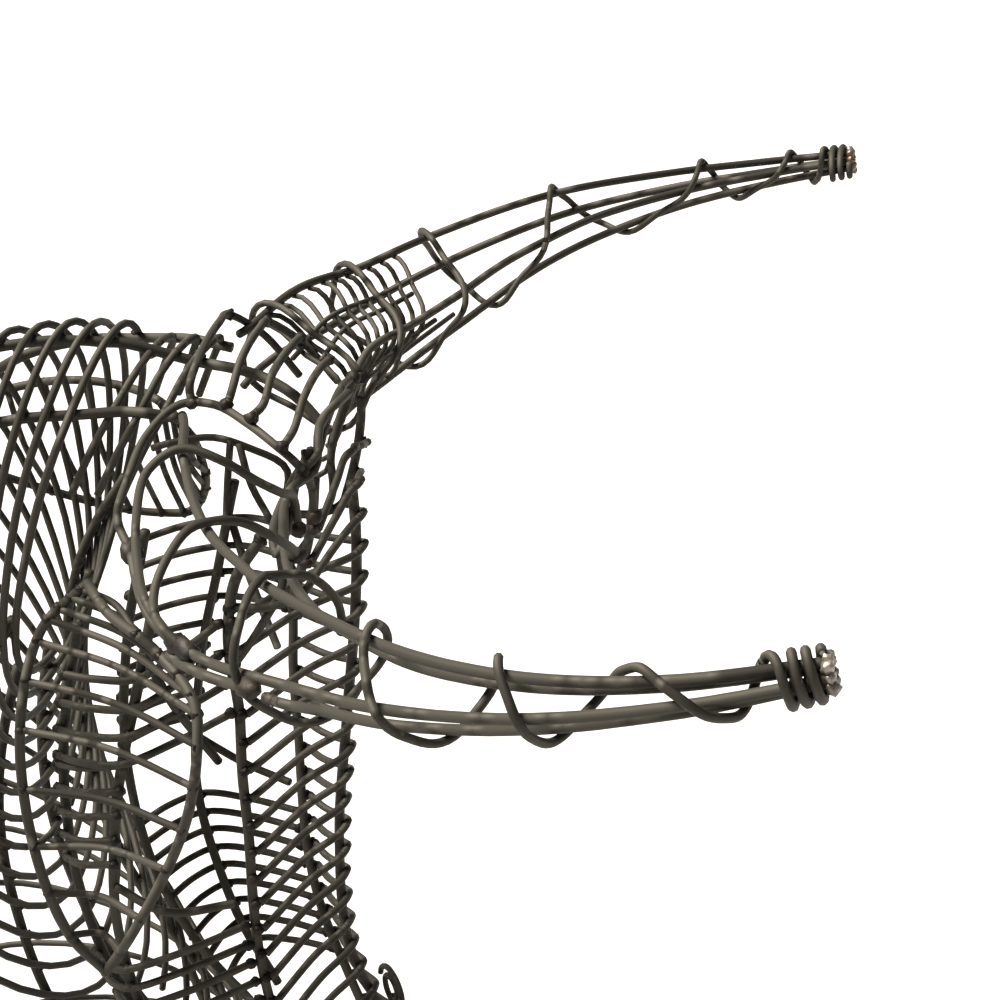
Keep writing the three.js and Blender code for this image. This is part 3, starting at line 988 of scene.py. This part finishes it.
@dataclass
class Ear:
    """One ear: a leaf-shaped rim with ribs."""

    side: Side
    swing: float = 0.0
    rim_gauge: float = 4.6
    rib_gauge: float = 3.2
    cup: float = 7.0
    front: tuple[Point, ...] = (
        (74, 296, 410), (90, 281, 405), (104, 257, 398), (114, 239, 382), (119, 237, 362),
        (123, 241, 335), (124, 253, 303), (121, 275, 259), (117, 288, 238),
    )
    back: tuple[Point, ...] = (
        (74, 296, 410), (84, 314, 392), (100, 322, 350), (114, 316, 300), (120, 302, 260),
        (117, 288, 238),
    )
    ribs: tuple[tuple[float, float], ...] = (
        (0.03, 0.2), (0.07, 0.26), (0.12, 0.31), (0.17, 0.36), (0.23, 0.41), (0.31, 0.49),
        (0.4, 0.58), (0.5, 0.67), (0.6, 0.75), (0.7, 0.83), (0.81, 0.91),
    )

    def build(self) -> None:
        """Makes the rim, the ribs and their welds."""
        sign = self.side.value
        turn = Matrix.Rotation(math.radians(self.swing), 3, "X")
        root = Vector((self.front[0][0] * sign, *self.front[0][1:]))
        front, back = (
            SmoothRun([root + turn @ (Vector((x * sign, y, z)) - root) for x, y, z in edge])
            for edge in (self.front, self.back)
        )
        bench = Bench(f"{self.side.label}_ear", waver=0.6)
        bench.bend(front.sample(70), self.rim_gauge)
        bench.bend(back.sample(60), self.rim_gauge)
        for from_back, to_front in self.ribs:
            start, end = back.at(from_back), front.at(to_front)
            middle = start.lerp(end, 0.5) + Vector((-sign * self.cup, 0, 0))
            bench.bend(smooth([start, middle, end], 3), self.rib_gauge)
            bench.bead(start, 5.8)
            bench.bead(end, 5.8)
        bench.finish()


# ---------- poll ----------


@dataclass
class Poll:
    """Wires across the top of the head, between the horns."""

    gauge: float = 3.7
    half_width: float = 42.0
    arch: float = 6.0
    rows: tuple[tuple[float, ...], ...] = (
        (255, 489, 263, 489), (238, 488, 245, 487), (224, 483, 230, 480), (212, 473, 217, 470),
        (202, 462, 207, 462),
    )
    tailed_behind: float = 240.0
    rests: tuple[Point, ...] = (
        (-43, 254, 483), (-45, 239, 484), (-50, 227, 481), (-54, 213, 471), (-50, 206, 458),
    )

    def build(self) -> None:
        """Makes the poll wires, whose right ends rest on the first root loop."""
        for i, (rest, row) in enumerate(zip(self.rests, self.rows), start=1):
            right_y, right_z, left_y, left_z = row
            bench = Bench(f"poll_wire_{i}", waver=0.9)
            half = self.half_width
            run = [
                Vector((-half, right_y, right_z)),
                Vector((-half / 2, right_y * 0.75 + left_y * 0.25, right_z + self.arch * 0.8)),
                Vector((half / 2, right_y * 0.25 + left_y * 0.75, left_z + self.arch * 0.8)),
                Vector((half, left_y, left_z)),
            ]
            run.insert(0, Vector(rest))
            if left_y > self.tailed_behind:
                run.append(Vector((half + 14, left_y - 12, left_z - 15)))
                run.append(Vector((half + 20, left_y - 26, left_z - 36)))
            bench.bend(smooth(run, 3), self.gauge)
            bench.bead(run[0], 6.5)
            bench.bead(run[4], 6.0)
            bench.finish()


# ---------- neck ----------


@dataclass
class Neck:
    """The wound neck, its bars and the flat hoop it stands on."""

    wrap_gauge: float = 3.6
    bar_gauge: float = 5.0
    turns: int = 21
    lengths: dict[str, tuple[int, int]] = field(
        default_factory=lambda: {"upper": (0, 7), "middle": (7, 14), "lower": (14, 21)}
    )
    bars: dict[str, float] = field(
        default_factory=lambda: {
            "right_upper_neck_bar": -36, "left_upper_neck_bar": 36,
            "right_side_neck_bar": -108, "left_side_neck_bar": 108,
            "right_lower_neck_bar": -144, "left_lower_neck_bar": 144,
            "throat_bar": 180,
        }
    )
    crest: tuple[tuple[float, float], ...] = (
        (298, 493), (334, 492), (378, 480), (424, 444), (455, 374), (467, 282), (471, 165),
        (470, 10),
    )
    throat: tuple[tuple[float, float], ...] = (
        (346, 330), (354, 290), (356, 245), (348, 195), (331, 145), (303, 98), (268, 50),
        (238, 10.5),
    )
    half_widths: tuple[float, ...] = (78, 82, 86, 91, 96, 101, 107, 112)
    poll_bar: tuple[tuple[float, float], ...] = ((207, 453), (222, 470), (240, 479), (268, 483))
    arch_places: tuple[float, ...] = (264, 275, 286)
    arch_half: float = 38.0
    arch_foot: float = 478.0
    arch_top: float = 491.0

    def __post_init__(self) -> None:
        """Lays the crest, the throat and the widths."""
        self.crest_run = SmoothRun([(0, y, z) for y, z in self.crest])
        self.throat_run = SmoothRun([(0, y, z) for y, z in self.throat])
        self.width_run = SmoothRun([(x, i * 60, 0) for i, x in enumerate(self.half_widths)])

    def surface(self, share: float, degrees: float) -> Vector:
        """Finds a place on the neck.

        Args:
            share: From 0 at the collar to 1 at the foot.
            degrees: Angle from the crest.

        Returns:
            The layout place.
        """
        angle = math.radians(degrees)
        top, bottom = self.crest_run.at(share), self.throat_run.at(share)
        across = self.width_run.at(share).x
        sideways = Vector((across * math.sin(angle), 0, 0))
        return top.lerp(bottom, 0.5 - math.cos(angle) / 2) + sideways

    def inside(self, share: float, degrees: float, depth: float) -> Vector:
        """Finds a place square inside the neck's surface.

        Args:
            share: From 0 at the collar to 1 at the foot.
            degrees: Angle from the crest.
            depth: Distance inwards.

        Returns:
            The layout place.
        """
        before = self.surface(max(share - 0.01, 0), degrees)
        along = self.surface(min(share + 0.01, 1), degrees) - before
        around = self.surface(share, degrees + 1) - self.surface(share, degrees - 1)
        return self.surface(share, degrees) + along.cross(around).normalized() * depth

    def build(self) -> None:
        """Makes the wraps, the bars and the foot hoop."""
        for name, (first, last) in self.lengths.items():
            self._wrap(name, first, last)
        depth = (self.bar_gauge + self.wrap_gauge) / 2 - WELD_SINK
        for name, degrees in self.bars.items():
            bench = Bench(name, waver=0.6)
            run = [self.inside(i / 90, degrees, depth) for i in range(91)]
            if "upper" in name:
                front = Vector((math.copysign(40, degrees), 262, 474))
                middle = front.lerp(run[0], 0.5) + Vector((0, 0, 2))
                run = [*smooth([front, middle, run[0]], 4)[:-1], *run]
            bench.bend(run, self.bar_gauge)
            self._bar_welds(bench, degrees)
            bench.finish()
        self._crest_bar(depth)
        self._foot_hoop()

    def _wrap(self, name: str, first: int, last: int) -> None:
        """Winds one length of the neck.

        Args:
            name: Which length.
            first: Turn it begins at.
            last: Turn it ends at.
        """
        steps = (last - first) * 44
        run = []
        for i in range(steps + 1):
            turn = first + (last - first) * i / steps
            run.append(self.surface(turn / self.turns, 180 + turn * 360))
        bench = Bench(f"{name}_neck_wrap", waver=1.6, wave_length=70)
        bench.bend(run[:-1], self.wrap_gauge)
        bench.finish()

    def _bar_welds(self, bench: Bench, degrees: float) -> None:
        """Adds a bead wherever the wrap crosses a bar.

        Args:
            bench: The bar's bench.
            degrees: The bar's angle.
        """
        for turn in range(self.turns):
            share = (turn + ((degrees - 180) / 360) % 1) / self.turns
            if 0.01 < share < 0.985:
                bench.bead(self.inside(share, degrees, 1.8), 6.2)

    def _crest_bar(self, depth: float) -> None:
        """Makes the crest bar with the arches before the collar.

        Args:
            depth: How far the bar lies inside the wraps.
        """
        bench = Bench("crest_bar", waver=0.6)
        run = [Vector((0, y, z)) for y, z in self.poll_bar]
        run += [self.inside(i / 30, 0, depth) for i in range(31)]
        bench.bend(smooth(run, 5), self.bar_gauge)
        half = self.arch_half
        for y in self.arch_places:
            arch = [
                (-half - 17, y + 20, self.arch_foot - 36),
                (-half - 11, y + 11, self.arch_foot - 16),
                (-half, y + 3, self.arch_foot),
                (-half * 0.6, y + 1, self.arch_top - 7),
                (0, y, self.arch_top - 4.5),
                (half * 0.6, y + 1, self.arch_top - 7),
                (half, y + 3, self.arch_foot),
                (half + 11, y + 11, self.arch_foot - 16),
                (half + 17, y + 20, self.arch_foot - 36),
            ]
            bench.bend(smooth(arch, 3), self.wrap_gauge, waver=1.0)
            bench.bead(Vector((0, y, self.arch_top - 5)), 6.5)
        self._bar_welds(bench, 0)
        bench.finish()

    def _foot_hoop(self) -> None:
        """Makes the flat hoop that the neck stands on."""
        front_y, back_y = self.throat[-1][0], self.crest[-1][0]
        half_y, half_x = (back_y - front_y) / 2, self.half_widths[-1]
        width, height = 8.0, 7.0
        hoop = bmesh.new()
        edges = []
        for reach in (-width / 2, width / 2):
            size = Matrix.Diagonal(((half_x + reach) * MM, (half_y + reach) * MM, 1)).to_4x4()
            middle = Matrix.Translation(place(0, (back_y + front_y) / 2, 0))
            made = bmesh.ops.create_circle(hoop, segments=112, radius=1, matrix=middle @ size)
            edges += list({e for v in made["verts"] for e in v.link_edges})
        ring = bmesh.ops.bridge_loops(hoop, edges=edges)["faces"]
        raised = bmesh.ops.extrude_face_region(hoop, geom=ring, use_keep_orig=True)["geom"]
        verts = [v for v in raised if isinstance(v, bmesh.types.BMVert)]
        bmesh.ops.translate(hoop, vec=(0, 0, height * MM), verts=verts)
        bmesh.ops.recalc_face_normals(hoop, faces=hoop.faces)
        sharp = [e for e in hoop.edges if e.calc_face_angle(0) > 1.0]
        bmesh.ops.bevel(
            hoop, geom=sharp, offset=1.1 * MM, offset_type="OFFSET", segments=2, profile=0.5,
            affect="EDGES", material=-1,
        )
        bench = Bench("foot_hoop")
        bench.add(hoop)
        bench.finish()


# ---------- studio ----------


@dataclass
class Studio:
    """Pale floor, soft light and the camera."""

    camera_at: Point = (-0.7756, -0.2303, 0.820)
    looks_along: Point = (0.8818, 0.1491, -0.4472)
    lens: float = 72.0
    floor_half: float = 14.0
    floor_grey: float = 0.40
    sky: float = 0.25
    backdrop: float = 1.1
    sun_from: Point = (-0.05, 0.7, 1.0)
    sun_strength: float = 13.5
    sun_spread: float = 26.0
    sun_tint: tuple[float, float, float] = (1.0, 0.95, 0.87)

    def build(self) -> None:
        """Makes the floor, the lights and the camera."""
        self._floor()
        self._lights()
        self._camera()

    def _floor(self) -> None:
        """Makes the floor."""
        sheet = bmesh.new()
        bmesh.ops.create_grid(sheet, x_segments=1, y_segments=1, size=self.floor_half)
        mesh = bpy.data.meshes.new("floor")
        sheet.to_mesh(mesh)
        sheet.free()
        paper = bpy.data.materials.new("floor_paper")
        paper.use_nodes = True
        shader = paper.node_tree.nodes["Principled BSDF"]
        shader.inputs["Base Color"].default_value = (*(self.floor_grey,) * 3, 1.0)
        shader.inputs["Roughness"].default_value = 0.9
        mesh.materials.append(paper)
        floor = bpy.data.objects.new("floor", mesh)
        floor.location.z = -0.0005
        bpy.context.scene.collection.objects.link(floor)

    def _lights(self) -> None:
        """Makes the soft light from above and the sky."""
        world = bpy.context.scene.world or bpy.data.worlds.new("studio")
        bpy.context.scene.world = world
        world.use_nodes = True
        sky = world.node_tree.nodes["Background"]
        sky.inputs["Color"].default_value = (1.0, 1.0, 1.0, 1.0)
        nodes, links = world.node_tree.nodes, world.node_tree.links
        ray = nodes.new("ShaderNodeLightPath")
        strength = nodes.new("ShaderNodeMapRange")
        strength.inputs["To Min"].default_value = self.sky
        strength.inputs["To Max"].default_value = self.backdrop
        links.new(ray.outputs["Is Camera Ray"], strength.inputs["Value"])
        links.new(strength.outputs["Result"], sky.inputs["Strength"])
        lamp = bpy.data.lights.new("sun", "SUN")
        lamp.energy = self.sun_strength
        lamp.angle = math.radians(self.sun_spread)
        lamp.color = self.sun_tint
        sun = bpy.data.objects.new("sun", lamp)
        sun.rotation_euler = (-Vector(self.sun_from)).to_track_quat("-Z", "Y").to_euler()
        bpy.context.scene.collection.objects.link(sun)
        bpy.context.scene.view_settings.view_transform = "Standard"

    def _camera(self) -> None:
        """Makes the camera."""
        data = bpy.data.cameras.new("camera")
        data.lens = self.lens
        data.sensor_width = 36.0
        data.clip_start = 0.01
        data.clip_end = 60.0
        camera = bpy.data.objects.new("camera", data)
        camera.location = self.camera_at
        camera.rotation_euler = Vector(self.looks_along).to_track_quat("-Z", "Y").to_euler()
        bpy.context.scene.collection.objects.link(camera)
        bpy.context.scene.camera = camera


def main() -> None:
    """Builds the head piece by piece and reports each one."""
    logging.basicConfig(level=logging.INFO, format="%(message)s")
    noise.seed_set(WAVER_SEED)
    for finish in (IRON, WELD, RAW):
        finish.make()
    Studio().build()
    Horn(
        Side.RIGHT,
        lift=(0,) * 9,
        roll=3.0,
        wrap_start=0.0,
        wrap_steps=(
            3.5, 3.75, 3.85, 4.28, 4.8, 5.12, 5.3, 5.58, 5.87, 6.08, 6.15, 6.5, 6.85, 7.17,
            7.4, 7.55, 7.68, 7.72, 7.74, 7.77, 7.79, 7.81, 7.84, 7.86, 7.88, 7.91, 7.93, 7.95,
            7.98,
        ),
        wrap_lead=((-95, 3.45), (-70, 3.52), (-35, 3.55)),
        root_loops=(
            ((90, 0.85), (70, 0.65), (50, 0.4), (25, 0.1), (0, 0.02), (-20, 0.15), (-40, 0.35),
             (-60, 0.45), (-80, 0.35), (-95, 0.2), (-112, 0.12)),
            ((90, 2.75), (70, 2.3), (60, 1.9), (45, 1.4), (25, 1.05), (0, 1.05), (-25, 1.2),
             (-50, 1.28), (-70, 1.2), (-85, 1.0), (-105, 1.0)),
            ((90, 2.95), (75, 2.6), (60, 2.4), (35, 2.3), (10, 2.22), (-20, 2.25), (-50, 2.25),
             (-70, 2.1), (-85, 1.9)),
        ),
        leads={
            "inner": (
                (0, 198, 473), (-30, 203, 471), (-45, 202, 457), (-60, 209, 454), (-80, 211, 446),
                (-105, 202, 448),
            )
        },
    ).build()
    Horn(
        Side.LEFT,
        lift=(3, 5, 8, 10, 11, 10, 7, 3, 1),
        roll=10.0,
        wrap_start=270.0,
        wrap_steps=(
            0.35, 0.65, 0.8, 0.95, 1.6, 1.85, 2.15, 2.45, 2.95, 3.1, 3.45, 3.65, 4.25, 4.7,
            5.05, 5.45, 6.13, 6.35, 6.5, 6.7, 7.18, 7.32, 7.42, 7.55, 7.67, 7.7, 7.73, 7.76,
            7.79, 7.81, 7.84, 7.86, 7.88, 7.91, 7.93, 7.95, 7.98,
        ),
        rod_starts={"top": 0.0, "outer": 0.6, "bottom": 0.9, "inner": 0.15},
        lattice_hoops=12,
        flatness=0.2,
    ).build()
    Face().build()
    Ear(Side.RIGHT).build()
    Ear(Side.LEFT, swing=80.0).build()
    Poll().build()
    Neck().build()


if __name__ == "__main__":
    main()
